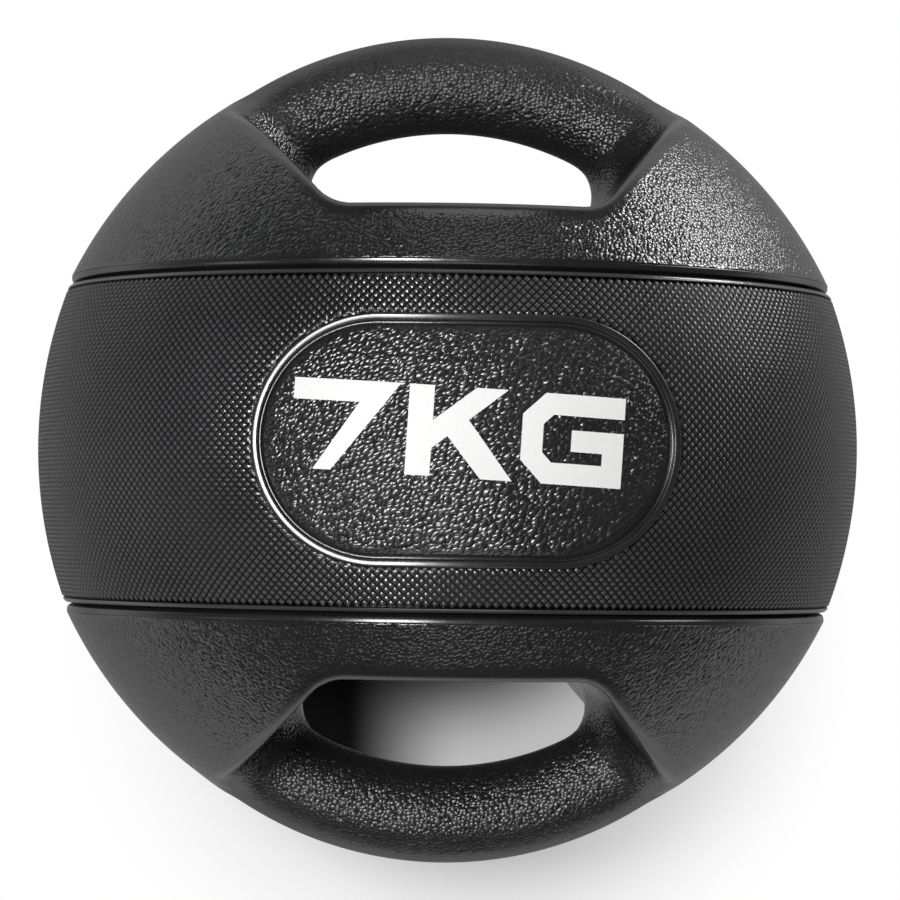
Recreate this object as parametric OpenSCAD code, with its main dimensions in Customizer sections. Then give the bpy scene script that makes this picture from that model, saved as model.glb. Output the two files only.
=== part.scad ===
// Double-grip medicine ball.
// A round rubber ball with a hand slot and an arched grip moulded into its top
// and its bottom, a studded band round its middle and an air-filled core.
// The ball's centre is the origin, the grips lie on Z and the front faces -Y.

/* [Ball] */
// Diameter of the ball over the centre band
ball_d = 280; // [268:1:300]
// How much larger the radius of the band's side, seen in section, is than the ball's
band_swell = 13; // [6:0.5:20]
// Radius of the band's edges
band_edge_r = 1.5; // [1:0.1:3]
// Thickness of the centre band
cover_t = 9; // [8:0.5:12]
// How much larger the radius of the caps' domes is than the ball's
dome_swell = 3.5; // [2:0.25:5]
// How far the centre of each dome lies past the ball's centre
dome_drop = 5; // [3:0.25:6]

/* [Seams] */
// Width of the smooth strip over each joint between band and cap
strip_w = 3.2; // [1.8:0.1:4]
// Depth of the groove that each strip lies in, below the cap
strip_t = 4; // [3:0.25:5]
// How far a strip's face lies below the cap
strip_sink = 0.7; // [0.3:0.1:1.2]

/* [Grips] */
// Thickness of a grip, which is round in section
grip_d = 32.5; // [28:0.25:36]
// How far a grip's crown stands proud of the ball
grip_rise = 1.7; // [0.8:0.1:3]
// Height of the centre of a grip's arc above the ball's centre
arc_lift = 14; // [10:0.5:18]
// Radius of the hollow flare where a grip runs into its shoulders
flare_r = 18; // [12:0.5:22]
// How far the flare's foot is set into the slot's end wall
flare_set = 0.8; // [0.4:0.1:1.5]
// Length of grip that runs on inside each shoulder
grip_root = 12; // [8:0.5:16]

/* [Hand slots] */
// Clear height between a slot's floor and the middle of its grip
finger_gap = 34; // [33:0.25:40]
// Width of a slot's floor between its end walls
floor_w = 86.5; // [76:0.5:88]
// Lean of the end walls away from the upright, in degrees
wall_lean = 39; // [36:0.5:43]
// Radius between floor and end walls
corner_r = 14; // [8:0.5:18]
// Radius of the floor's front and rear lips
lip_r = 4; // [2:0.5:5]
// Thickness of rubber between a slot's floor and the flat joint under it
floor_t = 19.8; // [12:0.05:22]

/* [Front panel] */
// Width of the panel over its rim
panel_w = 135; // [112:0.5:138]
// Height of the panel over its rim
panel_h = 79; // [62:0.5:82]
// Depth of the pocket that the panel is bonded into
panel_t = 6; // [4.5:0.25:7]
// How far the panel's field lies below the ball's surface
field_sink = 1.4; // [0.6:0.1:2]
// Width of the rim bead
rim_w = 1.4; // [1:0.1:3]
// How far the rim bead stands proud of the ball's surface
rim_rise = 0.5; // [0.2:0.1:1]
// Width of the trough inside the rim
trough_w = 2.8; // [1:0.1:4]
// Depth of the trough below the field
trough_t = 0.8; // [0.3:0.1:1.2]

/* [Core] */
// Thickness of the carcass at the ball's equator
side_t = 10; // [7:0.5:14]
// Thickness of the carcass under each cap
roof_t = 8; // [6:0.5:12]
// Radius of the air core's round edges
core_edge_r = 30; // [20:1:38]
// Thickness of the textile ply round the bladder
ply_t = 2; // [1:0.25:3]
// Thickness of the bladder's skin
bladder_t = 2; // [1.5:0.25:3]

/* [Valve] */
// Diameter of the valve's head, which lies flush in the band
head_d = 15; // [13:0.5:18]
// Thickness of the valve's head
head_t = 4; // [3:0.5:6]
// Diameter of the valve's neck
neck_d = 10; // [8:0.5:12]
// Diameter of the flange inside the bladder
flange_d = 26; // [20:1:32]
// Thickness of the flange at its rim
flange_t = 3; // [2:0.5:4]
// Diameter of the self-sealing plug
plug_d = 5; // [4:0.25:6]
// Length of the plug
plug_l = 18; // [14:0.5:20]
// How far the plug lies below the valve's head
plug_sink = 1; // [0.5:0.25:2]
// Bore for the inflating needle
needle_d = 2.2; // [1.8:0.1:2.6]
// Depth of the needle's bore
needle_l = 12; // [8:0.5:13]

/* [Hidden] */
$fn = 180;

ball_r = ball_d / 2;
reach = ball_d;                     // longer than any cut through the ball
overcut = 1;                        // how far a cutter runs past what it cuts
graze = 0.01;                       // how far a flat cuts into the round that it runs into
carcass_r = ball_r - cover_t;
dome_r = ball_r + dome_swell;
side_r = ball_r + band_swell;       // radius of the band's barrel-shaped side

grip_r = grip_d / 2;
path_r = ball_r + grip_rise - grip_r - arc_lift;
floor_z = ball_r + grip_rise - grip_d - finger_gap;
joint_z = floor_z - floor_t;        // flat joint between band and cap
band_h = 2 * joint_z - strip_w;     // height of the band over its round edges
corner_run = corner_r * tan((90 - wall_lean) / 2);
flat_w = floor_w - 2 * corner_run;

// The grip's centre line meets the end wall at this angle from the upright.
foot_a = wall_lean
    + asin((floor_w / 2 * cos(wall_lean) + (arc_lift - floor_z) * sin(wall_lean)) / path_r);
root_a = foot_a + grip_root / path_r * 180 / PI;

// Centre of the lip's rounding, which touches the floor and the dome.
lip_z = floor_z - lip_r;
lip_x = sqrt(pow(dome_r - lip_r, 2) - pow(lip_z + dome_drop, 2));

// Half width and half height of the air core, from the ply's outside inwards.
core_r = carcass_r - side_t;
core_h = joint_z - roof_t;
air_inset = ply_t + bladder_t;

rubber = [0.13, 0.13, 0.14];
studded = [0.16, 0.16, 0.17];
smooth = [0.09, 0.09, 0.10];
inner_rubber = [0.24, 0.22, 0.21];
cord = [0.80, 0.77, 0.70];
butyl = [0.20, 0.21, 0.24];

// Half section of the ball between two heights and two radii.
module zone(r_in, r_out, z_low, z_high) {
    intersection() {
        difference() {
            circle(r_out);
            circle(r_in);
        }
        translate([0, z_low])
            square([r_out, z_high - z_low]);
    }
}

// Half section of the upper dome, less its outer skin.
module dome_section(skin) {
    translate([0, -dome_drop])
        zone(0, dome_r - skin, dome_drop, dome_r);
}

// Half section of the upper joint, from the groove's bottom out to a skin below the dome.
module joint_section(skin) {
    intersection() {
        difference() {
            dome_section(skin);
            dome_section(strip_t);
        }
        translate([0, band_h / 2])
            square([reach, strip_w]);
    }
}

// Half section of the ball within the band's barrel-shaped side, less its outer skin.
module barrel_section(skin) {
    intersection() {
        translate([-band_swell, 0])
            circle(side_r - skin);
        translate([0, -joint_z])
            square([reach, 2 * joint_z]);
    }
}

// The same, turned to a solid.
module barrel(skin) {
    rotate_extrude()
        barrel_section(skin);
}

// What the rounding takes off the band's sharp upper edge.
module edge_section() {
    rise = band_h / 2 - band_edge_r;
    run = sqrt(pow(side_r - band_edge_r, 2) - pow(rise, 2));
    centre = [run - band_swell, rise];
    difference() {
        polygon([
            centre,
            centre + (band_edge_r + overcut) * [run, rise] / (side_r - band_edge_r),
            [ball_r, band_h / 2 + overcut],
            [centre[0], band_h / 2 + overcut]
        ]);
        translate(centre)
            circle(band_edge_r);
    }
}

// Half section of the air core, a drum with round edges, drawn in by inset.
module core_section(inset) {
    r = core_r - inset;
    h = core_h - inset;
    edge_r = core_edge_r - inset;
    translate([0, edge_r - h])
        square([r, 2 * (h - edge_r)]);
    translate([0, -h])
        square([r - edge_r, 2 * h]);
    for (side = [-1, 1])
        translate([r - edge_r, side * (h - edge_r)])
            circle(edge_r);
}

// Closed skin round the air core, between two insets.
module core_skin(outer, inner) {
    rotate_extrude()
        difference() {
            core_section(outer);
            core_section(inner);
        }
}

// Outline of a hand slot, seen from the front, open at the top: the flat floor,
// then on each side a round corner and the end wall that leans away from it.
module slot_outline() {
    translate([-flat_w / 2, floor_z])
        square([flat_w, reach]);
    for (side = [0, 1])
        mirror([side, 0])
            translate([flat_w / 2, floor_z + corner_r]) {
                circle(corner_r);
                rotate(-wall_lean)
                    translate([-reach, 0])
                        square([reach + corner_r - graze, reach]);
            }
}

// What the rounding takes off the sharp lip, turned round Z.
module lip_cut() {
    centre = [lip_x, lip_z];
    intersection() {
        rotate_extrude()
            difference() {
                polygon([
                    centre,
                    centre + (lip_r + overcut) * [lip_x, lip_z + dome_drop] / (dome_r - lip_r),
                    [dome_r, floor_z + overcut],
                    [lip_x, floor_z + overcut]
                ]);
                translate(centre)
                    circle(lip_r);
            }
        cube([flat_w - 2 * overcut, 2 * reach, 2 * reach], center = true);
    }
}

// Dome of the cap with the hand slot scooped right through it.
module slotted_dome() {
    difference() {
        rotate_extrude()
            difference() {
                dome_section(0);
                square([reach, joint_z]);
                joint_section(-overcut);
            }
        rotate([90, 0, 0])
            linear_extrude(2 * reach, center = true)
                slot_outline();
        lip_cut();
    }
}

// Round grip, an arc across the slot that runs on into both shoulders.
module grip_bar() {
    translate([0, 0, arc_lift])
        rotate([90, 0, 0])
            rotate_extrude(angle = 2 * root_a, start = 90 - root_a)
                translate([path_r, 0])
                    circle(grip_r);
}

// Hollow flare, square to the end wall, between the grip and one shoulder.
module grip_flare() {
    translate([path_r * sin(foot_a), 0, arc_lift + path_r * cos(foot_a)])
        rotate([0, 90 + wall_lean, 0])
            translate([0, 0, flare_set - flare_r])
                rotate_extrude()
                    difference() {
                        square([grip_r + flare_r, flare_r + overcut]);
                        translate([grip_r + flare_r, 0])
                            circle(flare_r);
                    }
}

// Cap with its grip, as moulded for the top of the ball.
module cap() {
    slotted_dome();
    grip_bar();
    intersection() {
        translate([0, 0, -dome_drop])
            sphere(dome_r);
        union() {
            for (side = [0, 1])
                mirror([side, 0, 0])
                    grip_flare();
        }
    }
}

// Smooth strip over the joint between the band and the upper cap.
module seam_strip() {
    rotate_extrude()
        joint_section(strip_sink);
}

// Panel outline with round ends, drawn in by inset, carried from the centre to the front.
module panel_block(inset) {
    h = panel_h - 2 * inset;
    rotate([90, 0, 0])
        linear_extrude(reach) {
            square([panel_w - panel_h, h], center = true);
            for (side = [-1, 1])
                translate([side * (panel_w - panel_h) / 2, 0])
                    circle(h / 2);
        }
}

// Turns a shape's Z axis to the valve's axis, out of the ball's rear.
module at_rear() {
    rotate([-90, 0, 0])
        children();
}

// Neck and head of the valve, which the band and the layers under it make way for.
module valve_stem() {
    at_rear() {
        translate([0, 0, core_r - air_inset - flange_t])
            cylinder(h = reach, d = neck_d);
        translate([0, 0, ball_r - head_t])
            cylinder(h = reach, d = head_d);
    }
}

// Heavy carcass under the band and the caps, before it is parted front from rear.
module carcass() {
    rotate_extrude()
        difference() {
            zone(0, carcass_r, -joint_z, joint_z);
            core_section(0);
        }
}

module upper_cap() {
    color(rubber)
        cap();
}

module lower_cap() {
    color(rubber)
        mirror([0, 0, 1])
            cap();
}

module centre_band() {
    color(studded)
        difference() {
            barrel(0);
            sphere(carcass_r);
            rotate_extrude()
                for (side = [0, 1])
                    mirror([0, side]) {
                        joint_section(-overcut);
                        edge_section();
                    }
            difference() {
                panel_block(0);
                sphere(ball_r - panel_t);
            }
            valve_stem();
        }
}

module upper_seam_strip() {
    color(smooth)
        seam_strip();
}

module lower_seam_strip() {
    color(smooth)
        mirror([0, 0, 1])
            seam_strip();
}

module front_panel() {
    color(rubber)
        difference() {
            union() {
                intersection() {
                    panel_block(0);
                    barrel(field_sink);
                }
                intersection() {
                    difference() {
                        panel_block(0);
                        panel_block(rim_w);
                    }
                    barrel(-rim_rise);
                }
            }
            difference() {
                panel_block(rim_w);
                panel_block(rim_w + trough_w);
                barrel(field_sink + trough_t);
            }
            sphere(ball_r - panel_t);
        }
}

module front_carcass() {
    color(inner_rubber)
        intersection() {
            carcass();
            translate([-reach, -2 * reach, -reach])
                cube(2 * reach);
        }
}

module rear_carcass() {
    color(inner_rubber)
        difference() {
            carcass();
            translate([-reach, -2 * reach, -reach])
                cube(2 * reach);
            valve_stem();
        }
}

module textile_ply() {
    color(cord)
        difference() {
            core_skin(0, ply_t);
            valve_stem();
        }
}

module bladder() {
    color(butyl)
        difference() {
            core_skin(ply_t, air_inset);
            valve_stem();
        }
}

module valve_body() {
    color(smooth)
        difference() {
            union() {
                intersection() {
                    rotate_extrude()
                        core_section(air_inset);
                    at_rear()
                        translate([0, 0, core_r - air_inset - flange_t])
                            cylinder(h = reach, d = flange_d);
                }
                intersection() {
                    valve_stem();
                    barrel(0);
                }
            }
            at_rear()
                translate([0, 0, ball_r - plug_sink - plug_l])
                    cylinder(h = reach, d = plug_d);
        }
}

module valve_plug() {
    color(butyl)
        at_rear()
            translate([0, 0, ball_r - plug_sink - plug_l])
                difference() {
                    cylinder(h = plug_l, d = plug_d);
                    translate([0, 0, plug_l - needle_l])
                        cylinder(h = reach, d = needle_d);
                }
}

upper_cap();
lower_cap();
centre_band();
upper_seam_strip();
lower_seam_strip();
front_panel();
front_carcass();
rear_carcass();
textile_ply();
bladder();
valve_body();
valve_plug();
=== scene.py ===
# %% [markdown]
# # A double-grip medicine ball
# A heavy black rubber ball that is lifted by two grips, one moulded across a
# hand slot at the top and one at the bottom. The CAD frame gives every piece
# its place. This lesson adds what the frame leaves out: the soft blends of the
# moulded grips, thousands of small studs, the pebbled rubber and a studio.

# %% Load the frame
import math

import bmesh
import bpy
import numpy as np
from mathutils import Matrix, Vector


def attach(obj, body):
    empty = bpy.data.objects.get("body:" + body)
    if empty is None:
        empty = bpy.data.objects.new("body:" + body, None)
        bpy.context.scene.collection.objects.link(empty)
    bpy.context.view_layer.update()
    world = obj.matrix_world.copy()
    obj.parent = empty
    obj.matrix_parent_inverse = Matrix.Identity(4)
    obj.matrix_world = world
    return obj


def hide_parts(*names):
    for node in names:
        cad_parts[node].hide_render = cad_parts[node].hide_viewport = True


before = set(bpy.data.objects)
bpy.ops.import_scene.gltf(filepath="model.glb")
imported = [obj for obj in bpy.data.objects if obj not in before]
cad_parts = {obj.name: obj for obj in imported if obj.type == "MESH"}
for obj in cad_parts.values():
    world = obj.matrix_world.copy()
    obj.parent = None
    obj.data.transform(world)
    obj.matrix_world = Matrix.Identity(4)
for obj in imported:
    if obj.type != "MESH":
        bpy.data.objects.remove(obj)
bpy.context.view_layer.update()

MM = 0.001

# %% [markdown]
# ## From arrays to meshes
# Each surface below is worked out as numpy arrays in millimetres. One helper
# puts the points and faces into a mesh at the origin, and another gives the
# piece its finish, hangs it on its body and hides the CAD nodes that it stands
# for. Values stored at the points let a finish change from place to place.


# %% Mesh helpers
def make_piece(name, points, *faces, smooth=True):
    """Mesh object from points in mm and one or more arrays of faces, each
    array with the same number of corners per face."""
    sizes = np.concatenate([np.full(len(f), f.shape[1]) for f in faces])
    corners = np.concatenate([f.ravel() for f in faces])
    used, corners = np.unique(corners, return_inverse=True)
    mesh = bpy.data.meshes.new(name)
    mesh.vertices.add(len(used))
    mesh.vertices.foreach_set("co", (points[used] * MM).astype(np.float32).ravel())
    mesh.loops.add(len(corners))
    mesh.loops.foreach_set("vertex_index", corners.astype(np.int32).ravel())
    mesh.polygons.add(len(sizes))
    starts = np.concatenate([[0], np.cumsum(sizes)[:-1]])
    mesh.polygons.foreach_set("loop_start", starts.astype(np.int32))
    mesh.polygons.foreach_set("use_smooth", np.full(len(sizes), smooth))
    mesh.update(calc_edges=True)
    piece = bpy.data.objects.new(name, mesh)
    bpy.context.scene.collection.objects.link(piece)
    return piece


WELD_REACH = 0.002 * MM


def opened(piece):
    """Mesh of a piece, opened for editing."""
    work = bmesh.new()
    work.from_mesh(piece.data)
    return work


def put_back(work, piece):
    """Turns all faces of an opened mesh outwards and gives it back to its piece."""
    bmesh.ops.recalc_face_normals(work, faces=work.faces)
    work.to_mesh(piece.data)
    work.free()


def weld(piece):
    """Merges points that lie on each other and turns all faces outwards."""
    work = opened(piece)
    bmesh.ops.remove_doubles(work, verts=work.verts, dist=WELD_REACH)
    bmesh.ops.dissolve_degenerate(work, edges=work.edges, dist=WELD_REACH)
    put_back(work, piece)


def fit_out(piece, material, slot, *nodes):
    """Gives a piece its finish and its body, and hides the CAD nodes that it stands for."""
    piece.data.materials.clear()
    piece.data.materials.append(material)
    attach(piece, "root")
    if nodes:
        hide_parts(*nodes)
    piece.data.calc_loop_triangles()
    print(piece.name, "-", len(piece.data.loop_triangles), "triangles")


def store_values(piece, label, value_of):
    """Stores a value for each point of a piece, worked out from its place in mm, for
    the finish to read, such as how deep a grain is pressed there."""
    place = np.empty(len(piece.data.vertices) * 3, np.float32)
    piece.data.vertices.foreach_get("co", place)
    value = value_of(*(place.reshape(-1, 3).T / MM)).astype(np.float32)
    piece.data.attributes.new(label, "FLOAT", "POINT").data.foreach_set("value", value)


def ease(value, low, high):
    """Soft step from 0 at low to 1 at high."""
    t = np.clip((value - low) / (high - low), 0, 1)
    return t * t * (3 - 2 * t)


def grid_quads(rows, columns, row_loop=False, column_loop=False):
    """Quads between the points of a grid, closed on itself where asked."""
    i = np.arange(rows if row_loop else rows - 1)[:, None]
    j = np.arange(columns if column_loop else columns - 1)[None, :]
    down, across = (i + 1) % rows, (j + 1) % columns
    quads = [i * columns + j, down * columns + j, down * columns + across, i * columns + across]
    return np.stack(np.broadcast_arrays(*quads), axis=-1).reshape(-1, 4)


print("quads on a grid of 3 by 4 points:", len(grid_quads(3, 4)))

# %% [markdown]
# ## The camera
# The photograph looks almost square at the front panel, from a little to the
# left and a little below the ball's middle. A long lens keeps the outline
# nearly round. The camera turns round the ball, since the ball itself stays
# where the frame has it.

# %% Camera
IMAGE_W = 900
SENSOR_W = 36.0
FOCAL_PX = 3927.0
CAMERA_DISTANCE = 1350.0
CAMERA_AZIMUTH = math.radians(-2.75)
CAMERA_ELEVATION = math.radians(-1.2)
CAMERA_ROLL = math.radians(0.8)
BALL_CENTRE_PX = (447.5, 449.5)

camera = bpy.data.objects.new("camera", bpy.data.cameras.new("camera"))
bpy.context.scene.collection.objects.link(camera)
bpy.context.scene.camera = camera
towards_camera = Vector((
    math.sin(CAMERA_AZIMUTH) * math.cos(CAMERA_ELEVATION),
    -math.cos(CAMERA_AZIMUTH) * math.cos(CAMERA_ELEVATION),
    math.sin(CAMERA_ELEVATION),
))
camera.location = towards_camera * CAMERA_DISTANCE * MM
camera.rotation_euler = (-towards_camera).to_track_quat("-Z", "Y").to_euler()
camera.rotation_euler.rotate_axis("Z", CAMERA_ROLL)
camera.data.sensor_width = SENSOR_W
camera.data.lens = SENSOR_W * FOCAL_PX / IMAGE_W
camera.data.shift_x = (IMAGE_W / 2 - BALL_CENTRE_PX[0]) / IMAGE_W
camera.data.shift_y = (BALL_CENTRE_PX[1] - IMAGE_W / 2) / IMAGE_W
print("lens, mm:", round(camera.data.lens, 1))

# %% [markdown]
# ## Finishes
# Everything outside is the same black rubber, but the mould gives it three
# skins: a fine pebble grain on the caps and the panel, blunt studs round the
# middle, and plain smooth rubber along the seams. Two small groups of nodes
# hold what the finishes share: the grain, and the bloom, which is the uneven
# greyish film that black rubber gets from handling.


# %% Groups of nodes
def new_group(name, inputs, outputs):
    """Empty group of shader nodes with named float inputs and outputs."""
    group = bpy.data.node_groups.new(name, "ShaderNodeTree")
    for label, value in inputs.items():
        socket = group.interface.new_socket(label, in_out="INPUT", socket_type="NodeSocketFloat")
        socket.default_value = value
    for label, kind in outputs.items():
        group.interface.new_socket(label, in_out="OUTPUT", socket_type=kind)
    return group, group.nodes.new("NodeGroupInput"), group.nodes.new("NodeGroupOutput")


def add_node(tree, kind, settings=(), **links):
    """New node with settings, whose inputs take a value or another node's output."""
    node = tree.nodes.new(kind)
    for label, value in dict(settings).items():
        setattr(node, label, value)
    for label, value in links.items():
        key = int(label[1:]) if label[0] == "_" and label[1:].isdigit() else label.replace("_", " ")
        if isinstance(value, bpy.types.NodeSocket):
            tree.links.new(value, node.inputs[key])
        else:
            node.inputs[key].default_value = value
    return node


def math_node(tree, operation, a, b=0.0):
    """Output of a Math node."""
    return add_node(tree, "ShaderNodeMath", {"operation": operation}, _0=a, _1=b).outputs[0]


def soft_step(tree, value, low, high, start, end):
    """Output that eases from start, where a value is low, to end, where it is high."""
    return add_node(
        tree, "ShaderNodeMapRange", {"interpolation_type": "SMOOTHSTEP"}, Value=value,
        From_Min=low, From_Max=high, To_Min=start, To_Max=end,
    ).outputs["Result"]


def grain_group():
    """Pebble grain: the skin leans away from the nearest of many scattered points,
    more the further it is from it, so that each point carries a small hill. The
    hills are drawn out along one way, as on leather. A slow warp makes them
    crooked, and each gets a chance lean of its own."""
    group, given, out = new_group(
        "pebble_grain",
        {"Scale": 1200.0, "Slope": 0.5, "Uneven": 0.35, "Warp": 1.3, "Drawn": 0.0},
        {"Normal": "NodeSocketVector"},
    )
    for label in ("Skin", "Way"):
        group.interface.new_socket(label, in_out="INPUT", socket_type="NodeSocketVector")

    skin, way = given.outputs["Skin"], given.outputs["Way"]
    scale, slope = given.outputs["Scale"], given.outputs["Slope"]
    grey = (0.5, 0.5, 0.5)

    def vector(operation, **links):
        """Output of a node that works on vectors."""
        return add_node(group, "ShaderNodeVectorMath", {"operation": operation}, **links).outputs[0]

    def share_along(value, direction):
        """Length of a vector's part along a direction."""
        node = add_node(
            group, "ShaderNodeVectorMath", {"operation": "DOT_PRODUCT"}, _0=value, _1=direction
        )
        return node.outputs["Value"]

    def draw_out(value):
        """Takes away a share, Drawn, of a vector's part along Way."""
        share = math_node(group, "MULTIPLY", share_along(value, way), given.outputs["Drawn"])
        return vector("SUBTRACT", _0=value, _1=vector("SCALE", _0=way, Scale=share))

    place = group.nodes.new("ShaderNodeTexCoord").outputs["Object"]
    half_scale = math_node(group, "MULTIPLY", scale, 0.5)
    bend = add_node(group, "ShaderNodeTexNoise", {}, Vector=place, Detail=0.0, Scale=half_scale)
    bend = vector("SUBTRACT", _0=bend.outputs["Color"], _1=grey)
    bend = vector("SCALE", _0=bend, Scale=math_node(group, "DIVIDE", given.outputs["Warp"], scale))
    place = draw_out(vector("ADD", _0=place, _1=bend))
    near = add_node(group, "ShaderNodeTexVoronoi", {"feature": "F1"}, Vector=place, Scale=scale)
    away = draw_out(vector("SUBTRACT", _0=place, _1=near.outputs["Position"]))
    away = vector("SCALE", _0=away, Scale=math_node(group, "MULTIPLY", scale, slope))
    chance = vector("SUBTRACT", _0=near.outputs["Color"], _1=grey)
    chance_slope = math_node(group, "MULTIPLY", given.outputs["Uneven"], slope)
    chance = vector("SCALE", _0=chance, Scale=chance_slope)
    lean = vector("ADD", _0=away, _1=chance)
    flat = vector("SUBTRACT", _0=lean, _1=vector("SCALE", _0=skin, Scale=share_along(lean, skin)))
    group.links.new(vector("NORMALIZE", _0=vector("ADD", _0=skin, _1=flat)), out.inputs["Normal"])
    return group


def bloom_group():
    """Bloom of old rubber: slow clouds and fine specks, as a shade and a roughness."""
    group, given, out = new_group(
        "rubber_bloom",
        {"Dark": 0.8, "Pale": 1.25, "Glossy": 0.40, "Matt": 0.55},
        {"Shade": "NodeSocketFloat", "Roughness": "NodeSocketFloat"},
    )
    place = group.nodes.new("ShaderNodeTexCoord").outputs["Object"]
    clouds = add_node(group, "ShaderNodeTexNoise", {}, Vector=place, Scale=28.0, Detail=5.0)
    specks = add_node(group, "ShaderNodeTexNoise", {}, Vector=place, Scale=700.0, Detail=2.0)
    both = add_node(group, "ShaderNodeMix", {}, Factor=0.35)
    group.links.new(clouds.outputs[0], both.inputs["A"])
    group.links.new(specks.outputs[0], both.inputs["B"])
    for label, low, high in (("Shade", "Dark", "Pale"), ("Roughness", "Glossy", "Matt")):
        spread = add_node(
            group, "ShaderNodeMapRange", {}, Value=both.outputs["Result"], From_Min=0.35,
            From_Max=0.65, To_Min=given.outputs[low], To_Max=given.outputs[high],
        )
        group.links.new(spread.outputs["Result"], out.inputs[label])
    return group


GRAIN = grain_group()
BLOOM = bloom_group()
print("node groups:", GRAIN.name, BLOOM.name)

# %% [markdown]
# A finish is one shader with both groups in front of it. A picture of grain
# would have to be stretched over round pieces, while the group works in space
# and needs no unwrapping. The finishes differ in their numbers and in the
# stored values that they read.

# %% Rubber and print
GRAIN_TURN = math.radians(32)
WEAR = 0.14
RUBBER_GLOSS = 0.9
RUBBER_BLACK = (0.012, 0.012, 0.013)
STUD_BLACK = (0.042, 0.042, 0.0445)


def finish_material(name, colour, bloom, *grains, specular=0.5, drawn=0.0, shaded="", worn=""):
    """Principled finish: a colour clouded by bloom, under one or more grains. Each has
    a scale, a slope and, where it isn't even, the piece's values that say how steep.
    Other values of the piece can paint shade into colour and gloss, or say where wear dulls it."""
    material = bpy.data.materials.new(name)
    material.use_nodes = True
    tree = material.node_tree

    def stored(label):
        """Value that the piece stores at its points."""
        return add_node(tree, "ShaderNodeAttribute", {"attribute_name": label}).outputs["Fac"]

    shader = tree.nodes["Principled BSDF"]
    shader.inputs["Specular IOR Level"].default_value = specular
    film = tree.nodes.new("ShaderNodeGroup")
    film.node_tree = BLOOM
    for label, value in bloom.items():
        film.inputs[label].default_value = value
    tint = add_node(tree, "ShaderNodeVectorMath", {"operation": "SCALE"})
    tint.inputs[0].default_value = colour
    shade, dull = film.outputs["Shade"], film.outputs["Roughness"]
    # Painted shade: the stored value darkens the colour and lowers the gloss.
    if shaded:
        rise = stored(shaded)
        shade = math_node(tree, "MULTIPLY", shade, rise)
        gloss = math_node(tree, "MULTIPLY", rise, specular)
        tree.links.new(gloss, shader.inputs["Specular IOR Level"])
    if worn:
        dull = math_node(tree, "ADD", dull, math_node(tree, "MULTIPLY", stored(worn), WEAR))
    tree.links.new(shade, tint.inputs["Scale"])
    tree.links.new(tint.outputs[0], shader.inputs["Base Color"])
    tree.links.new(dull, shader.inputs["Roughness"])
    normal = tree.nodes.new("ShaderNodeNewGeometry").outputs["Normal"]
    for scale, slope, *pressed in grains:
        skin = tree.nodes.new("ShaderNodeGroup")
        skin.node_tree = GRAIN
        skin.inputs["Scale"].default_value = scale
        skin.inputs["Slope"].default_value = slope
        skin.inputs["Way"].default_value = (math.cos(GRAIN_TURN), 0, math.sin(GRAIN_TURN))
        skin.inputs["Drawn"].default_value = drawn
        tree.links.new(normal, skin.inputs["Skin"])
        if pressed:
            steep = math_node(tree, "MULTIPLY", stored(pressed[0]), slope)
            tree.links.new(steep, skin.inputs["Slope"])
        normal = skin.outputs["Normal"]
    tree.links.new(normal, shader.inputs["Normal"])
    return material


CAP_FINISH = finish_material(
    "grained_rubber", RUBBER_BLACK, {"Glossy": 0.17, "Matt": 0.24},
    (860.0, 0.55, "grain"), (840.0, 0.80, "grip"),
    specular=RUBBER_GLOSS, drawn=0.25, worn="wear",
)
PANEL_FINISH = finish_material(
    "panel_rubber", RUBBER_BLACK, {"Glossy": 0.24, "Matt": 0.31}, (780.0, 0.85, "grain"),
    specular=RUBBER_GLOSS, drawn=0.45,
)
STUD_FINISH = finish_material(
    "studded_rubber", STUD_BLACK, {"Glossy": 0.14, "Matt": 0.22}, (2400.0, 0.12),
    specular=RUBBER_GLOSS, shaded="rise",
)
SMOOTH_FINISH = finish_material(
    "smooth_rubber", RUBBER_BLACK, {"Glossy": 0.20, "Matt": 0.30}, (2400.0, 0.02),
    specular=RUBBER_GLOSS,
)
PRINT_FINISH = finish_material(
    "white_print", (0.88, 0.88, 0.87),
    {"Dark": 0.97, "Pale": 1.02, "Glossy": 0.5, "Matt": 0.6}, (820.0, 0.1),
)
CARCASS_FINISH = finish_material(
    "carcass_rubber", (0.10, 0.09, 0.085), {"Glossy": 0.6, "Matt": 0.8}, (300.0, 0.3)
)
BUTYL_FINISH = finish_material(
    "butyl_rubber", (0.06, 0.065, 0.08), {"Glossy": 0.5, "Matt": 0.7}, (500.0, 0.15)
)
PLY_FINISH = finish_material(
    "textile_ply", (0.72, 0.68, 0.58),
    {"Dark": 0.7, "Glossy": 0.8, "Matt": 0.95}, (260.0, 0.5),
)
print("finishes:", len(bpy.data.materials))

# %% [markdown]
# ## The caps with their grips
# Each cap is one moulding: a dome, a hand slot right through it and a round
# grip that swells into the shoulders. A shape with a hole and soft blends can't
# be one grid of two parameters, so it is described as a field instead: a
# function that is negative inside the rubber and zero on its skin. Fields are
# easy to blend, and the skin is then found on a block of small cubes.


# %% Blending fields
def hollow_join(a, b, r):
    """Union of two fields, with a hollow fillet of radius r where they meet."""
    return np.maximum(r, np.minimum(a, b)) - np.hypot(np.maximum(r - a, 0), np.maximum(r - b, 0))


def round_meet(a, b, r):
    """Part common to two fields, with its edge rounded off over r."""
    return np.minimum(-r, np.maximum(a, b)) + np.hypot(np.maximum(r + a, 0), np.maximum(r + b, 0))


print("a 10 mm fillet fills a square corner by, mm:", round(-hollow_join(0.0, 0.0, 10.0), 2))

# %% [markdown]
# Three forms make a cap: a block with the slot's floor and its leaning end
# walls, the tube of the grip and the ball of the dome. The flares where the
# grip runs into the shoulders then come from one blend, not from sculpting.

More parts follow.
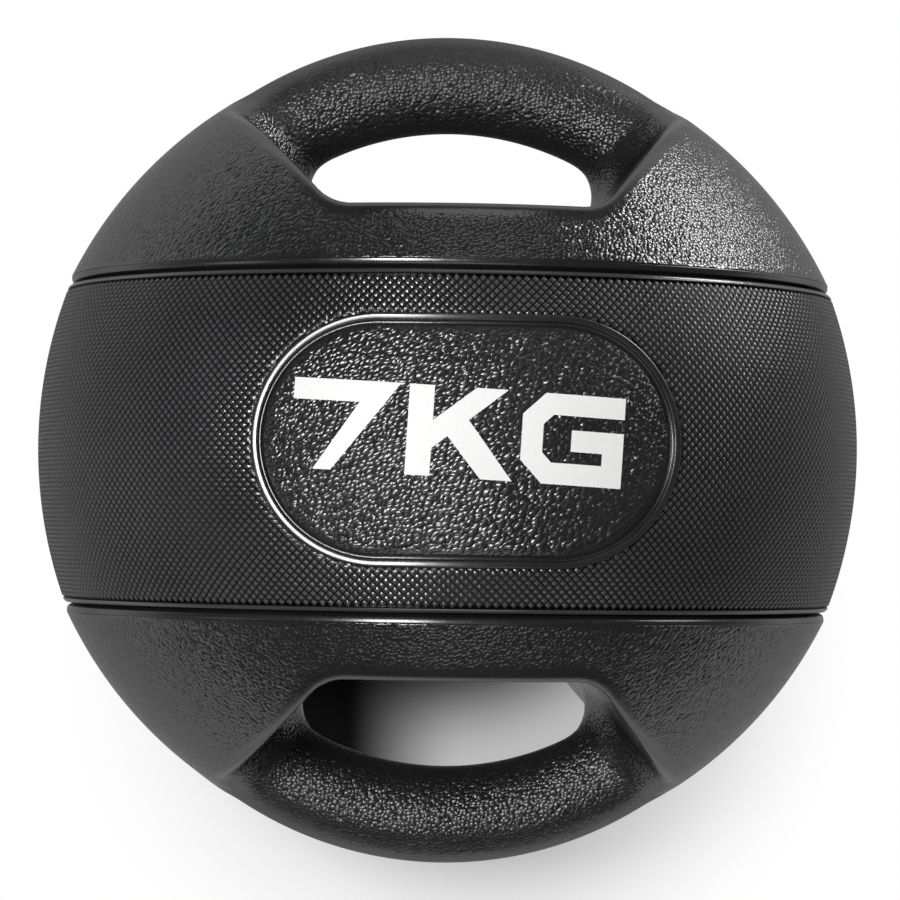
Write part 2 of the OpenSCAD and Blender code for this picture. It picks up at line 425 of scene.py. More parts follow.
# %% The cap's field
DOME_R, DOME_DROP = 143.5, 5.0
GRIP_R, GRIP_PATH_R, GRIP_LIFT = 16.25, 111.45, 14.0
FLOOR_Z, FLOOR_HALF = 75.2, 43.25
WALL_LEAN = math.radians(39)
CORNER_R, FLARE_R = 14.0, 18.0
CREASE_R = 2.0
LIP_R, RIDGE_R, RIDGE_Z = 2.0, 7.0, 122.0


def cap_forms(x, y, z):
    """Fields of the cap's three forms. Below the slot's floor or behind a leaning
    wall is the block, with a round corner between floor and wall; the grip is a
    tube bent to an arc; the dome is a ball."""
    side, up = np.abs(x), z - FLOOR_Z
    behind_wall = up * math.sin(WALL_LEAN) - (side - FLOOR_HALF) * math.cos(WALL_LEAN)
    block = np.minimum(up, behind_wall)
    run = CORNER_R * math.tan((math.pi / 2 - WALL_LEAN) / 2)
    across, above = side - (FLOOR_HALF - run), up - CORNER_R
    in_corner = (across > 0) & (across * math.sin(WALL_LEAN) + above * math.cos(WALL_LEAN) < 0)
    block = np.where(in_corner, CORNER_R - np.hypot(across, above), block)
    grip = np.hypot(np.hypot(x, z - GRIP_LIFT) - GRIP_PATH_R, y) - GRIP_R
    dome = np.sqrt(x * x + y * y + (z + DOME_DROP) ** 2) - DOME_R
    return block, grip, dome


def cap_field(x, y, z):
    """Rubber of the upper cap. A hollow flare joins the grip to the block, the
    dome cuts them off outside, and the edge there is rounder towards the top."""
    block, grip, dome = cap_forms(x, y, z)
    edge_r = LIP_R + (RIDGE_R - LIP_R) * ease(z, FLOOR_Z, RIDGE_Z)
    shoulders = round_meet(hollow_join(block, grip, FLARE_R), dome, edge_r)
    return hollow_join(shoulders, grip, CREASE_R)


print("room for the fingers, mm:", round(GRIP_LIFT + GRIP_PATH_R - GRIP_R - FLOOR_Z, 2))

# %% [markdown]
# A remesh of joined solids could give such a skin too, but it can leave steps
# along the flares. Here the field itself says where its skin crosses each small
# cube, and the points then slide along the field's slope until they lie on it.


# %% From a field to a skin
def skin_of(field, low, high, step):
    """Points and quads on the zero level of a field. A cube with a change of
    sign gets one point, the mean of the crossings on its edges, and each
    crossed edge gets a quad between the four cubes round it."""
    axes = [np.arange(a, b + step, step) for a, b in zip(low, high)]
    value = field(*np.meshgrid(*axes, indexing="ij")).astype(np.float32)
    cubes = np.array(value.shape) - 1
    total, count = np.zeros((*cubes, 3), np.float32), np.zeros(cubes, np.int16)
    crossed = []
    for axis in range(3):
        first = np.moveaxis(value, axis, 0)
        a, b = first[:-1], first[1:]
        change = (a < 0) != (b < 0)
        part = np.where(change, a / np.where(change, a - b, 1), 0)
        change, part, a = (np.moveaxis(v, 0, axis) for v in (change, part, a))
        u, v = (axis + 1) % 3, (axis + 2) % 3
        for du in (0, 1):
            for dv in (0, 1):
                cut = [slice(None)] * 3
                cut[u] = slice(du, cubes[u] + du)
                cut[v] = slice(dv, cubes[v] + dv)
                hit = change[tuple(cut)]
                count += hit
                total[..., axis] += part[tuple(cut)]
                total[..., u] += hit * np.float32(du)
                total[..., v] += hit * np.float32(dv)
        where = np.argwhere(change)
        inner = np.all((where[:, [u, v]] > 0) & (where[:, [u, v]] < cubes[[u, v]]), axis=1)
        where = where[inner]
        crossed.append((where, u, v, a[tuple(where.T)] < 0))
    full = count > 0
    index = np.full(cubes, -1)
    index[full] = np.arange(full.sum())
    points = np.argwhere(full) + total[full] / count[full][:, None]
    points = points * step + np.array([axis[0] for axis in axes])
    quads = []
    for where, u, v, outwards in crossed:
        ring = []
        for du, dv in ((-1, -1), (0, -1), (0, 0), (-1, 0)):
            beside = where.copy()
            beside[:, u] += du
            beside[:, v] += dv
            ring.append(index[tuple(beside.T)])
        ring = np.stack(ring, axis=1)
        quads.append(np.where(outwards[:, None], ring, ring[:, ::-1]))
    return points, np.concatenate(quads)


def settle(field, points, rounds=5, reach=0.7):
    """Moves points onto the skin along the field's slope."""
    tiny, least_steep = 0.02, 0.25
    for _ in range(rounds):
        slope = np.stack([
            field(*(points + tiny * way).T) - field(*(points - tiny * way).T) for way in np.eye(3)
        ], axis=1) / (2 * tiny)
        steep = np.maximum((slope ** 2).sum(axis=1), least_steep)
        move = (field(*points.T) / steep)[:, None] * slope
        points = points - np.clip(move, -reach, reach)
    return points


# %% [markdown]
# The skin is cut off flat where the cap meets the seam, and the cut is closed,
# so that the cap is a solid lump of rubber. The lower cap is the same shape
# upside down.

# %% Upper and lower cap
CAP_STEP = 1.4
CAP_EDGE_Z = 57.0
CAP_LOW = (-140.0, -140.0, CAP_EDGE_Z - 3.0)
CAP_HIGH = (140.0, 140.0, 145.0)

cap_points, cap_quads = skin_of(cap_field, CAP_LOW, CAP_HIGH, CAP_STEP)
cap_points = settle(cap_field, cap_points)
print("points on a cap's skin:", len(cap_points))


def make_cap(name, way):
    """Cap on the side of the ball that way names, 1 above and -1 below."""
    cap = make_piece(name, cap_points * np.array([1, 1, way]), cap_quads[:, ::way])
    work = opened(cap)
    everything = work.verts[:] + work.edges[:] + work.faces[:]
    bmesh.ops.bisect_plane(
        work, geom=everything, plane_co=(0, 0, way * CAP_EDGE_Z * MM), plane_no=(0, 0, way),
        clear_inner=True,
    )
    rim = [edge for edge in work.edges if edge.is_boundary]
    bmesh.ops.contextual_create(work, geom=rim)
    for face in work.faces:
        face.smooth = len(face.verts) < 5
    put_back(work, cap)
    return cap


# %% [markdown]
# The grain isn't the same all over a cap. It is gone along the ridges and the
# lips, the grip has another one, and hands wear that one smooth along the
# crown. Each point of the mesh keeps how deep the grains are pressed there.

# %% Grain and wear of the caps
FLARE_FADE = (1.0, 5.0)
CROWN_FADE, CROWN_LOSS = (4.0, 12.0), 0.75
HELD_FADE, UPPER_WEAR = (20.0, 45.0), 0.7
RIDGE_FADE, CUT_FADE = (1.5, 7.0), (0.1, 1.0)
GRIP_LOSS = 0.8


def on_grip(x, y, z):
    """1 on a grip, fading to 0 along the flares that lead to the shoulders."""
    return 1 - ease(cap_forms(x, y, np.abs(z))[1], *FLARE_FADE)


def grip_grain(x, y, z):
    """Grain of the grip, fading out on its flares and worn smooth along its crown."""
    crown = np.hypot(x, np.abs(z) - GRIP_LIFT) - GRIP_PATH_R
    return on_grip(x, y, z) * (1 - CROWN_LOSS * ease(crown, *CROWN_FADE))


def grip_wear(x, y, z):
    """How far hands have dulled the rubber: more on the upper grip, mostly in its middle."""
    held = np.where(z > 0, 1 - ease(np.abs(x), *HELD_FADE), 0)
    return (1 + UPPER_WEAR * held) * on_grip(x, y, z)


def cap_grain(x, y, z):
    """Fine grain of a cap, gone along the ridges and the lips and faint on the grip."""
    block, _, dome = cap_forms(x, y, np.abs(z))
    depth = ease(np.maximum(-dome, -block), *RIDGE_FADE) * ease(np.abs(z) - CAP_EDGE_Z, *CUT_FADE)
    return depth * (1 - GRIP_LOSS * grip_grain(x, y, z))


for cap_name, cap_way, cap_node in (("cap_upper", 1, "upper_cap"), ("cap_lower", -1, "lower_cap")):
    cap = make_cap(cap_name, cap_way)
    store_values(cap, "grain", cap_grain)
    store_values(cap, "grip", grip_grain)
    store_values(cap, "wear", grip_wear)
    fit_out(cap, CAP_FINISH, "grained_rubber", cap_node)

# %% [markdown]
# ## The studded band
# The band between the caps is barrel shaped: its side is an arc of a circle
# larger than the ball. Its skin is a lattice of blunt four-sided studs on
# their points. Along the band run columns, half a stud apart, and across it
# rows. Every second crossing carries a stud, and the ones between are the
# valleys' corners, which four studs share. Smooth shading rounds the studs off.

# %% The barrel
BALL_R = 140.0
BARREL_R = 153.0
BAND_TOP = 53.8
BAND_EDGE_R = 1.8
STUD_STEP = 1.44
STUD_ROWS = 74
STUD_COLUMNS = 300
STUD_H = 0.6
STUD_TOP = 0.42


def on_barrel(turn, arc, height):
    """Point of the band: turn is the angle from the front towards +X, arc the
    way up the side from the middle, height the way out from the skin."""
    slope = arc / BARREL_R
    out = BALL_R - BARREL_R + (BARREL_R + height) * np.cos(slope)
    return np.stack([
        out * np.sin(turn), -out * np.cos(turn), (BARREL_R + height) * np.sin(slope)
    ], axis=-1)


print("studs, about:", (STUD_ROWS - 1) * STUD_COLUMNS)

# %% [markdown]
# The studs make way for the panel in front and the valve behind: there the
# skin dips, so that those pieces sit in a hollow of the band.

# %% Hollows for the panel and the valve
PANEL_W, PANEL_H = 135.0, 79.0
VALVE_R, VALVE_CLEARANCE = 7.5, 0.4
HOLLOW_DEPTH, HOLLOW_RUN, HOLLOW_BEND = 6.5, 2.2, 1.5
STUD_CLEARANCE = 0.35


def panel_inset(x, z):
    """How far a point lies inside the panel's outline, which has round ends."""
    beyond = np.maximum(np.abs(x) - (PANEL_W - PANEL_H) / 2, 0)
    return PANEL_H / 2 - np.hypot(beyond, z)


def hollow_inset(points):
    """How far each point lies inside the panel's or the valve's hollow, in mm."""
    x, y, z = np.moveaxis(points, -1, 0)
    return np.where(y < 0, panel_inset(x, z), VALVE_R + VALVE_CLEARANCE - np.hypot(x, z))


def studded(turn, arc, height):
    """Point of the band, pressed down inside a hollow."""
    inset = hollow_inset(on_barrel(turn, arc, 0.0))
    dip = HOLLOW_DEPTH * np.clip(inset / HOLLOW_RUN, 0, 1) ** HOLLOW_BEND
    height = np.where(inset > -STUD_CLEARANCE, np.minimum(height, -STUD_H), height)
    return on_barrel(turn, arc, height - dip)


print("panel, mm:", PANEL_W, "by", PANEL_H)

# %% [markdown]
# The band is made in a front and a rear half. Their ends run in a zigzag along
# the valleys, so that they cut no stud, and the section of the band's back is
# carried round behind the studs.

# %% The band in two halves
BACK_EDGE_R, BACK_HALF_R, BACK_MIDDLE_R = 125.0, 130.0, 132.0
SHELF_SHARES = (0.35, 0.7)
EDGE_POINTS = 8
# Painted shade in the valleys between the studs: its darkest share and how it eases upwards.
VALLEY_SHADE, SHADE_POWER = 0.04, 1.5


def band_section():
    """Half section of the band behind its studs, from the last row over the
    round edge and down the back, as distances from the axis and heights."""
    lean = math.asin((BAND_TOP - BAND_EDGE_R) / (BARREL_R - BAND_EDGE_R))
    centre = np.array([
        BALL_R - BARREL_R + (BARREL_R - BAND_EDGE_R) * math.cos(lean), BAND_TOP - BAND_EDGE_R
    ])
    start = STUD_ROWS / 2 * STUD_STEP / BARREL_R
    shelf = start + (lean - start) * np.array(SHELF_SHARES)
    shelf = np.stack([BALL_R - BARREL_R + BARREL_R * np.cos(shelf), BARREL_R * np.sin(shelf)], 1)
    angle = np.linspace(lean, math.pi / 2, EDGE_POINTS)
    edge = centre + BAND_EDGE_R * np.stack([np.cos(angle), np.sin(angle)], 1)
    back = [[BACK_EDGE_R, BAND_TOP], [BACK_HALF_R, BAND_TOP / 2]]
    upper = np.concatenate([shelf, edge, back])
    return np.concatenate([upper, [[BACK_MIDDLE_R, 0.0]], upper[::-1] * (1, -1)])


def make_band(name, first_turn):
    """Half of the band, from one side of the ball to the other. It ends in a zigzag
    along the valleys, so that no stud is cut."""
    i, j = np.meshgrid(np.arange(-1, STUD_COLUMNS + 1), np.arange(STUD_ROWS + 1), indexing="ij")

    def at(column, row):
        """Number of a crossing of the lattice."""
        return (column + 1) * (STUD_ROWS + 1) + row

    def place(column, row, height):
        """Point at a column and a row, which need not be whole numbers."""
        turn = first_turn + column * math.pi / STUD_COLUMNS
        return studded(turn, (row - STUD_ROWS / 2) * STUD_STEP, height)

    lattice = place(i, j, np.full(i.shape, -STUD_H)).reshape(-1, 3)
    stud = ((i + j) % 2 == 0) & (i >= 0) & (i < STUD_COLUMNS)
    whole = stud & (j > 0) & (j < STUD_ROWS)
    ways = np.array([[1, 0], [0, 1], [-1, 0], [0, -1]])
    ci, cj = i[whole][:, None], j[whole][:, None]
    tops = place(
        ci + STUD_TOP * ways[:, 0], cj + STUD_TOP * ways[:, 1], np.zeros((len(ci), 4))
    ).reshape(-1, 3)
    top = len(lattice) + np.arange(len(tops)).reshape(-1, 4)
    foot = at(ci + ways[:, 0], cj + ways[:, 1])
    sides = np.stack([foot, np.roll(foot, -1, 1), np.roll(top, -1, 1), top], -1).reshape(-1, 4)
    gaps = []
    for edge, way in ((0, 1), (STUD_ROWS, -1)):
        middle = i[stud & (j == edge)]
        tip = at(middle, edge + way)
        gaps += [
            np.stack([at(middle + way, edge), tip, at(middle, edge)], 1),
            np.stack([tip, at(middle - way, edge), at(middle, edge)], 1),
        ]
    gaps = np.concatenate(gaps)

    section = band_section()
    columns = np.arange(-1, STUD_COLUMNS)[:, None]
    turn = first_turn + columns * math.pi / STUD_COLUMNS
    back = np.stack([
        section[:, 0] * np.sin(turn), -section[:, 0] * np.cos(turn),
        np.broadcast_to(section[:, 1], (len(columns), len(section))),
    ], -1).reshape(-1, 3)
    behind = len(lattice) + len(tops) + np.arange(len(back)).reshape(len(columns), -1)
    loop = np.concatenate([at(columns, STUD_ROWS), behind, at(columns, 0)], axis=1)
    rows = np.stack([loop[:-1, :-1], loop[1:, :-1], loop[1:, 1:], loop[:-1, 1:]], -1).reshape(-1, 4)
    row = np.arange(STUD_ROWS + 1)
    start = np.concatenate([at(row % 2 - 1, row), behind[0]])[None, :]
    end = np.concatenate([at(STUD_COLUMNS + row % 2 - 1, row), behind[-1]])[None, ::-1]
    points = np.concatenate([lattice, tops, back])
    band = make_piece(name, points, top, sides, gaps, rows, start, end, smooth=False)
    rounded = np.arange(len(band.data.polygons)) < len(top) + len(sides) + len(gaps)
    band.data.polygons.foreach_set("use_smooth", rounded)
    return band


def stud_rise(x, y, z):
    """How far a point stands out of the valleys between the studs, for the painted
    shade that keeps the rubber darkest in the valleys."""
    height = np.hypot(np.hypot(x, y) - BALL_R + BARREL_R, z) - BARREL_R
    rise = np.clip(1 + height / STUD_H, 0, 1)
    return VALLEY_SHADE + (1 - VALLEY_SHADE) * rise ** SHADE_POWER


# Each point stores how far it rises, for the painted shade in the valleys.
for band_name, band_turn in (("band_front", -math.pi / 2), ("band_rear", math.pi / 2)):
    band = make_band(band_name, band_turn)
    store_values(band, "rise", stud_rise)
    fit_out(band, STUD_FINISH, "studded_rubber", "centre_band")

# %% [markdown]
# ## The seam strips
# A smooth strip of rubber covers each joint between band and cap. It is a round
# bead close under the cap, with a narrow dark groove between it and the band.
# Its section is carried round the ball's axis.


# %% Revolved pieces
def turned(name, section, count, axis="Z", loop=True):
    """A section of distances and heights carried round an axis in count steps."""
    section = np.asarray(section, float)
    angle = np.arange(count)[:, None] * 2 * math.pi / count
    out, along = section[:, 0], np.broadcast_to(section[:, 1], (count, len(section)))
    across = (out * np.cos(angle), out * np.sin(angle))
    parts = (across[0], across[1], along) if axis == "Z" else (across[1], along, across[0])
    points = np.stack(parts, -1).reshape(-1, 3)
    piece = make_piece(name, points, grid_quads(count, len(section), True, loop))
    weld(piece)
    return piece


STRIP_COUNT = 628
STRIP_SECTION = np.array([
    (125.5, 53.8), (127.4, 53.8), (127.5, 54.15), (128.1, 54.4), (128.75, 54.75), (129.1, 55.15),
    (129.28, 55.6), (129.36, 56.1), (129.38, 56.6), (129.36, 57.0), (125.5, 57.0),
])
for strip_name, strip_way, strip_node in (
    ("seam_strip_upper", 1, "upper_seam_strip"), ("seam_strip_lower", -1, "lower_seam_strip"),
):
    strip = turned(strip_name, STRIP_SECTION * (1, strip_way), STRIP_COUNT)
    fit_out(strip, SMOOTH_FINISH, "smooth_rubber", strip_node)

# %% [markdown]
# ## The front panel
# The oval panel is bonded into the band. From its edge inwards come a rim whose
# broad face leans inwards, a smooth trough and a grained field. Walking round
# the outline is one parameter and walking inwards is the other; the field
# closes on the short line between the centres of the two round ends.

# %% Panel
FIELD = -1.55
FIELD_FADE = (3.9, 5.2)
PANEL_BACK = -5.5
PANEL_STEP = 0.5


def panel_outline():
    """Points of the outline and the directions that lead inwards from them."""
    half = (PANEL_W - PANEL_H) / 2
    radius = PANEL_H / 2
    straight = np.linspace(-half, half, round(2 * half / PANEL_STEP) + 1)
    angle = np.linspace(-90, 90, round(math.pi * radius / PANEL_STEP) + 1)[1:-1]
    angle = np.radians(angle)
    right = np.stack([half + radius * np.cos(angle), radius * np.sin(angle)], 1)
    low = np.stack([straight, np.full_like(straight, -radius)], 1)
    edge = np.concatenate([low, right, -low, -right])
    inwards = np.concatenate([
        np.tile((0.0, 1.0), (len(low), 1)), -np.stack([np.cos(angle), np.sin(angle)], 1),
        np.tile((0.0, -1.0), (len(low), 1)), np.stack([np.cos(angle), np.sin(angle)], 1),
    ])
    return edge, inwards


def on_panel(x, z, height):
    """Point of the band's front above a place x, z of the panel's plan."""
    out = BALL_R - BARREL_R + np.sqrt((BARREL_R + height) ** 2 - z ** 2)
    return np.stack([x, -np.sqrt(out ** 2 - x ** 2), z], axis=-1)


def panel_section():
    """Insets and heights from the back over the rim and the trough to the field."""
    rim = [
        (0.0, 0.05), (0.08, 0.24), (0.22, 0.38), (0.42, 0.44), (0.65, 0.42), (0.95, 0.34),
        (1.30, 0.225), (1.65, 0.10), (1.90, 0.0), (2.05, -0.12),
    ]
    trough = [
        (2.15, -0.35), (2.25, -0.9), (2.42, -1.55), (2.75, -1.95), (3.2, -2.0), (3.6, -1.9),
        (3.95, -1.7),
    ]
    field = [(inset, FIELD) for inset in (4.4, 7, 10, 14, 19, 25, 31, PANEL_H / 2)]
    back = [(inset, PANEL_BACK) for inset in (PANEL_H / 2, 25, 12, 0)] + [(0, -1.0)]
    return np.concatenate([back, rim, trough, field])


edge, inwards = panel_outline()
inset, height = panel_section().T
plan = edge[:, None] + inwards[:, None] * inset[:, None]
panel_points = on_panel(plan[..., 0], plan[..., 1], height)
panel = make_piece(
    "panel_front", panel_points.reshape(-1, 3), grid_quads(len(edge), len(inset), row_loop=True)
)
weld(panel)
store_values(panel, "grain", lambda x, y, z: ease(panel_inset(x, z), *FIELD_FADE))
fit_out(panel, PANEL_FINISH, "grained_rubber", "front_panel")

# %% [markdown]
# ## The weight mark
# A plain number with its unit is printed in white on the panel. Each figure is
# drawn from a few four-sided strokes. A stroke is a small grid laid on the
# field, with a thin edge, so that it follows the panel's curve.

# %% Mark
MARK_W, MARK_H = 99.0, 27.0
MARK_STROKE = 6.4
MARK_SCALE = 1.043
MARK_CENTRE = (-3.0, 2.5)
MARK_TURN = math.radians(-3.0)
INK, INK_ROOT = 0.15, 0.3
STROKE_POINTS = 13


def ribbon(path, width):
    """Four corners per leg of a path, its sides carried to a mitre at bends."""
    path = np.asarray(path, float)
    way = np.diff(path, axis=0)
    way /= np.linalg.norm(way, axis=1)[:, None]
    normal = np.stack([-way[:, 1], way[:, 0]], 1)
    before, after = np.concatenate([normal[:1], normal]), np.concatenate([normal, normal[-1:]])
    mitre = (before + after) / (1 + (before * after).sum(axis=1))[:, None]
    left, right = path + mitre * width / 2, path - mitre * width / 2
    return np.stack([right[:-1], right[1:], left[1:], left[:-1]], axis=1)


def mark_strokes():
    """Corners of all strokes of the mark, on a plan with its foot at zero."""
    half, h = MARK_STROKE / 2, MARK_H
    seven = ribbon([(0, h - half), (25.5, h - half), (9.5, 0)], MARK_STROKE)
    seven[1][[1, 2], 1] = 0
    x = 34.0
    stem = np.array([[(x, 0), (x + 7.4, 0), (x + 7.4, h), (x, h)]])
    x += 7.4
    arm = np.array([[(x, 8.2), (x + 22.0, h), (x + 12.5, h), (x, 16.6)]])
    leg = np.array([[(x + 4.6, 12.1), (x + 15.0, 0), (x + 24.5, 0), (x + 10.6, 17.3)]])
    g_left, g_right = 68.0, MARK_W
    gee = ribbon([
        (g_right, h - half), (g_left + 8, h - half), (g_left + half, h - 8), (g_left + half, 8),
        (g_left + 8, half), (g_right - half, half), (g_right - half, 13.2), (g_left + 15, 13.2),
    ], MARK_STROKE)
    return np.concatenate([seven, stem, arm, leg, gee])


def make_mark(name):
    """Thin slabs over the field, one for each stroke: a stroke's four corners are
    blended across a square grid, once for its face and once for its back."""
    count = STROKE_POINTS
    u, v = np.meshgrid(np.linspace(0, 1, count), np.linspace(0, 1, count), indexing="ij")
    corner = mark_strokes()
    low = corner[:, 0, None, None] * (1 - u[..., None]) + corner[:, 1, None, None] * u[..., None]
    high = corner[:, 3, None, None] * (1 - u[..., None]) + corner[:, 2, None, None] * u[..., None]
    plan = low * (1 - v[..., None]) + high * v[..., None]
    plan = (plan - np.array([MARK_W / 2, MARK_H / 2])) * MARK_SCALE
    turn = np.array([[math.cos(MARK_TURN), math.sin(MARK_TURN)],
                     [-math.sin(MARK_TURN), math.cos(MARK_TURN)]])
    plan = plan @ turn + np.array(MARK_CENTRE)
    face = on_panel(plan[..., 0], plan[..., 1], FIELD + INK).reshape(len(corner), -1, 3)
    back = on_panel(plan[..., 0], plan[..., 1], FIELD - INK_ROOT).reshape(len(corner), -1, 3)
    points = np.concatenate([face, back], axis=1)
    quads = grid_quads(count, count)
    number = np.arange(count * count).reshape(count, count)
    border = np.concatenate([number[:-1, 0], number[-1, :-1], number[:0:-1, -1], number[0, :0:-1]])
    following = np.roll(border, -1)
    below = count * count
    wall = np.stack([border, border + below, following + below, following], 1)
    slab = np.concatenate([quads, quads[:, ::-1] + below, wall])
    every = slab + np.arange(len(corner))[:, None, None] * 2 * below
    mark = make_piece(name, points.reshape(-1, 3), every.reshape(-1, 4), smooth=False)
    put_back(opened(mark), mark)
    return mark


fit_out(make_mark("weight_mark"), PRINT_FINISH, "white_print")

# %% [markdown]
# ## The valve
# Such a ball is filled with air through a small rubber valve, which lies flush
# in the band at the back. A collar holds a soft plug, and the needle goes in
# through the plug's fine hole. Both are turned sections.

# %% Valve
VALVE_FACE = 139.7
VALVE_SECTION = [
    (2.5, 130), (2.5, VALVE_FACE - 0.6), (2.75, VALVE_FACE - 0.2), (3.3, VALVE_FACE),
    (6.6, VALVE_FACE - 0.05), (7.2, VALVE_FACE - 0.25), (VALVE_R, VALVE_FACE - 0.8),
    (VALVE_R, 131.5), (5.0, 131.5), (5.0, 130),
]
PLUG_SECTION = [
    (0, 127), (1.1, 127), (1.1, VALVE_FACE - 1.1), (1.35, VALVE_FACE - 0.75),
    (2.1, VALVE_FACE - 0.7), (2.45, VALVE_FACE - 0.95), (2.5, 121), (0, 121),
]
valve = turned("valve_collar", VALVE_SECTION, 72, "Y")
fit_out(valve, SMOOTH_FINISH, "smooth_rubber", "valve_body")
plug = turned("valve_needle_plug", PLUG_SECTION, 48, "Y", loop=False)
fit_out(plug, BUTYL_FINISH, "butyl_rubber", "valve_plug")

# %% [markdown]
# ## What lies inside
# The carcass, the cord ply and the bladder stay as the frame has them. They are
# hidden in the finished ball, but they get finishes too, for anyone who opens it.

# %% Inner pieces
INNER_FINISHES = {
    "front_carcass": CARCASS_FINISH, "rear_carcass": CARCASS_FINISH,
    "textile_ply": PLY_FINISH, "bladder": BUTYL_FINISH,
}
for node_name, inner_finish in INNER_FINISHES.items():
    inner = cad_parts[node_name].data
    inner.materials.clear()
    inner.materials.append(inner_finish)
print("inner pieces:", ", ".join(INNER_FINISHES))

# %% [markdown]
# ## The studio
# In the photograph the ball lies on its back on a white table and is seen from
# straight above. The frame keeps the ball upright, so here the table stands
# behind it. It shows the ball's soft shadow, mostly below, and fades to plain
# white further off; behind the lower slot that shadow is painted. Only its face
# towards the ball is there to be seen, so that the ball's rear can be looked at too.


# %% Table
TABLE_Y = 140.3
TABLE_HALF = 3000.0
TABLE_WHITE = (0.92, 0.92, 0.92, 1)
PLAIN_WHITE = (1, 1, 1, 1)
TOUCH_POINT = (0, TABLE_Y * MM, 0)
SHADOW_CENTRE = (0.010, TABLE_Y * MM, -0.070)
# Each of these steps has the places in m where it starts and ends, then its values there.
SHADOW_FADE = (0.03, 0.158, 0.0, 1.0)
# The rest paint the shadow behind the lower slot: how bright it glows across and outwards, and where
# it lies.
PAINTED_LIGHT_ACROSS = (-0.030, 0.017, 0.010, 1.0)
PAINTED_LIGHT_OUTWARDS = (0.078, 0.118, 0.02, 0.50)
SLOT_ACROSS = (0.066, 0.090, 1.0, 0.0)
SLOT_UPWARDS = (-0.082, -0.060, 1.0, 0.0)
SLOT_OUTWARDS = (0.128, 0.148, 1.0, 0.0)


def table_material(name):
    """White matt face with the ball's shadow, plain white away from it. Behind the
    lower slot the shadow is painted, as a dim glow that is darkest on the left."""
    material = bpy.data.materials.new(name)
    material.use_nodes = True
    tree = material.node_tree
    tree.nodes.remove(tree.nodes["Principled BSDF"])
    place = tree.nodes.new("ShaderNodeTexCoord").outputs["Object"]

    def distance(centre):
        """How far a place on the table is from a centre."""
        node = add_node(tree, "ShaderNodeVectorMath", {"operation": "DISTANCE"}, _0=place, _1=centre)
        return node.outputs["Value"]

    def mixed(share, first, second):
        """Two shaders, the second one with a share from 0 to 1."""
        node = tree.nodes.new("ShaderNodeMixShader")
        for socket, source in zip(node.inputs, (share, first, second)):
            tree.links.new(source, socket)
        return node.outputs[0]

    parts = add_node(tree, "ShaderNodeSeparateXYZ", {}, Vector=place)
    across, up, outwards = parts.outputs["X"], parts.outputs["Z"], distance(TOUCH_POINT)
    plain = add_node(tree, "ShaderNodeEmission", {}, Color=PLAIN_WHITE)
    matt = add_node(tree, "ShaderNodeBsdfDiffuse", {}, Color=TABLE_WHITE)
    fade = soft_step(tree, distance(SHADOW_CENTRE), *SHADOW_FADE)
    face = mixed(fade, matt.outputs[0], plain.outputs[0])

    # Painted shadow behind the lower slot: an emission whose strength is set here, darkest on the
    # left.
    light = soft_step(tree, across, *PAINTED_LIGHT_ACROSS)
    light = math_node(tree, "MULTIPLY", light, soft_step(tree, outwards, *PAINTED_LIGHT_OUTWARDS))
    dim = add_node(tree, "ShaderNodeEmission", {}, Color=PLAIN_WHITE, Strength=light)
    painted_shadow_mask = soft_step(tree, math_node(tree, "ABSOLUTE", across), *SLOT_ACROSS)
    for value, limits in ((up, SLOT_UPWARDS), (outwards, SLOT_OUTWARDS)):
        painted_shadow_mask = math_node(tree, "MULTIPLY", painted_shadow_mask, soft_step(tree, value, *limits))
    face = mixed(painted_shadow_mask, face, dim.outputs[0])

    rays = tree.nodes.new("ShaderNodeLightPath").outputs["Is Camera Ray"]
    rear = tree.nodes.new("ShaderNodeNewGeometry").outputs["Backfacing"]
    seen = math_node(tree, "GREATER_THAN", math_node(tree, "SUBTRACT", rays, rear), 0.5)
    clear = tree.nodes.new("ShaderNodeBsdfTransparent")
    face = mixed(seen, clear.outputs[0], face)
    tree.links.new(face, tree.nodes["Material Output"].inputs["Surface"])
    return material


corners = np.array([(-1, 0, -1), (1, 0, -1), (1, 0, 1), (-1, 0, 1)], float) * TABLE_HALF
table = make_piece("table", corners + (0, TABLE_Y, 0), np.array([[0, 1, 2, 3]]))
table.data.materials.append(table_material("white_table"))
print("table, mm behind the ball's middle:", TABLE_Y)

# %% [markdown]
# A soft lamp stands in front on the left, and weaker ones rake the right
# shoulder, the top, the bottom and the left. The room in front is dim and the
# table behind is white, apart from the ball's own shadow, so black rubber stays
# dark in the middle and turns pale near its rim.

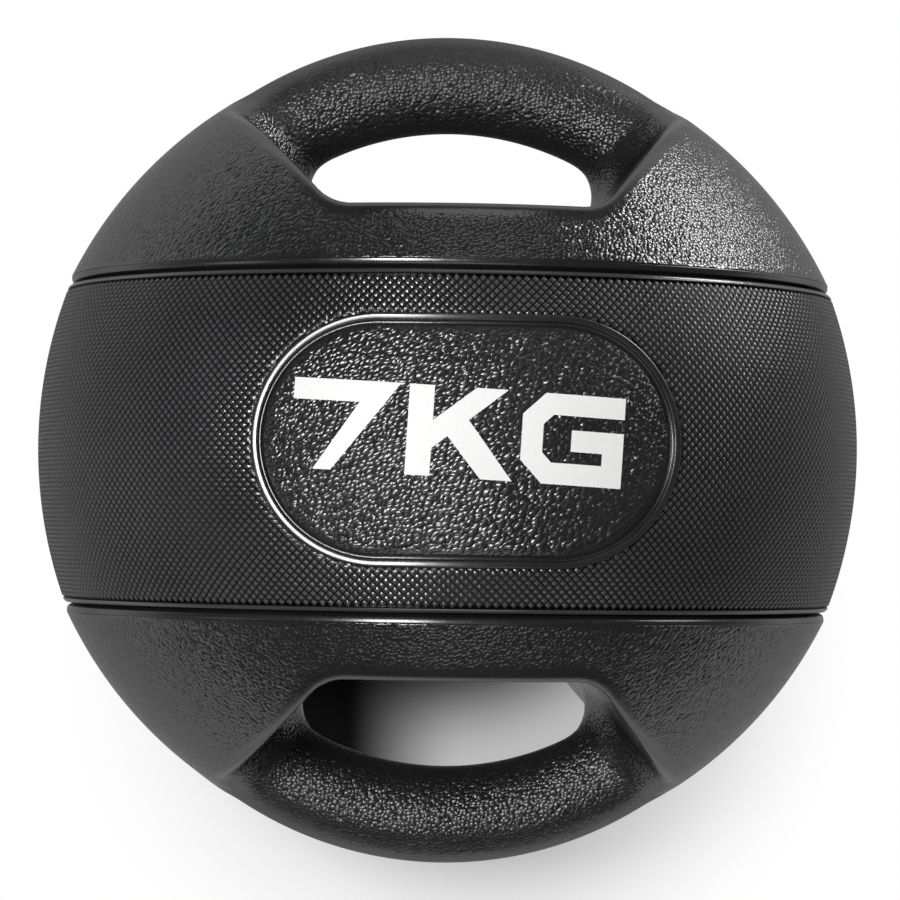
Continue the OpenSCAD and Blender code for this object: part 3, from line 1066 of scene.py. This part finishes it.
# %% Lamps and world
LAMPS = (
    # name, place in m, width and height in m, power in W
    ("front_left", (-0.36, -1.16, 0.08), (0.28, 0.30), 10.8),
    ("upper_right", (0.62, 0.06, 0.58), (0.24, 0.24), 2.6),
    ("right", (0.82, -0.28, 0.45), (0.30, 0.30), 1.3),
    ("top", (0.05, -0.45, 0.88), (0.50, 0.30), 0.6),
    ("below", (-0.05, -0.90, -0.65), (0.70, 0.30), 1.1),
    ("left", (-0.95, -0.42, -0.22), (0.30, 0.30), 0.4),
)
for lamp_name, lamp_place, lamp_size, power in LAMPS:
    data = bpy.data.lights.new(lamp_name, "AREA")
    data.shape = "RECTANGLE"
    data.size, data.size_y = lamp_size
    data.energy = power
    lamp = bpy.data.objects.new(lamp_name, data)
    lamp.location = lamp_place
    lamp.rotation_euler = (-Vector(lamp_place)).to_track_quat("-Z", "Y").to_euler()
    lamp.visible_camera = False
    bpy.context.scene.collection.objects.link(lamp)

ROOM_LIGHT, TABLE_LIGHT, SHADE_LIGHT = 0.07, 0.70, 0.34
# How far a direction points to the rear, from -1 to 1, where table and shade set in.
TABLE_FADE, SHADE_FADE = (-0.1, 0.5), (0.5, 0.8)
world = bpy.data.worlds.new("studio")
bpy.context.scene.world = world
world.use_nodes = True
sky = world.node_tree
paper = sky.nodes["Background"]
paper.inputs["Color"].default_value = PLAIN_WHITE
heading = add_node(
    sky, "ShaderNodeSeparateXYZ", {}, Vector=sky.nodes.new("ShaderNodeTexCoord").outputs["Generated"]
)
backwards = heading.outputs["Y"]
glow = math_node(
    sky, "ADD", soft_step(sky, backwards, *TABLE_FADE, ROOM_LIGHT, TABLE_LIGHT),
    soft_step(sky, backwards, *SHADE_FADE, 0.0, SHADE_LIGHT - TABLE_LIGHT),
)
sky_rays = sky.nodes.new("ShaderNodeLightPath")
level = math_node(sky, "MAXIMUM", glow, sky_rays.outputs["Is Camera Ray"])
sky.links.new(level, paper.inputs["Strength"])
bpy.context.scene.view_settings.view_transform = "Standard"
print("lamps:", len(LAMPS))
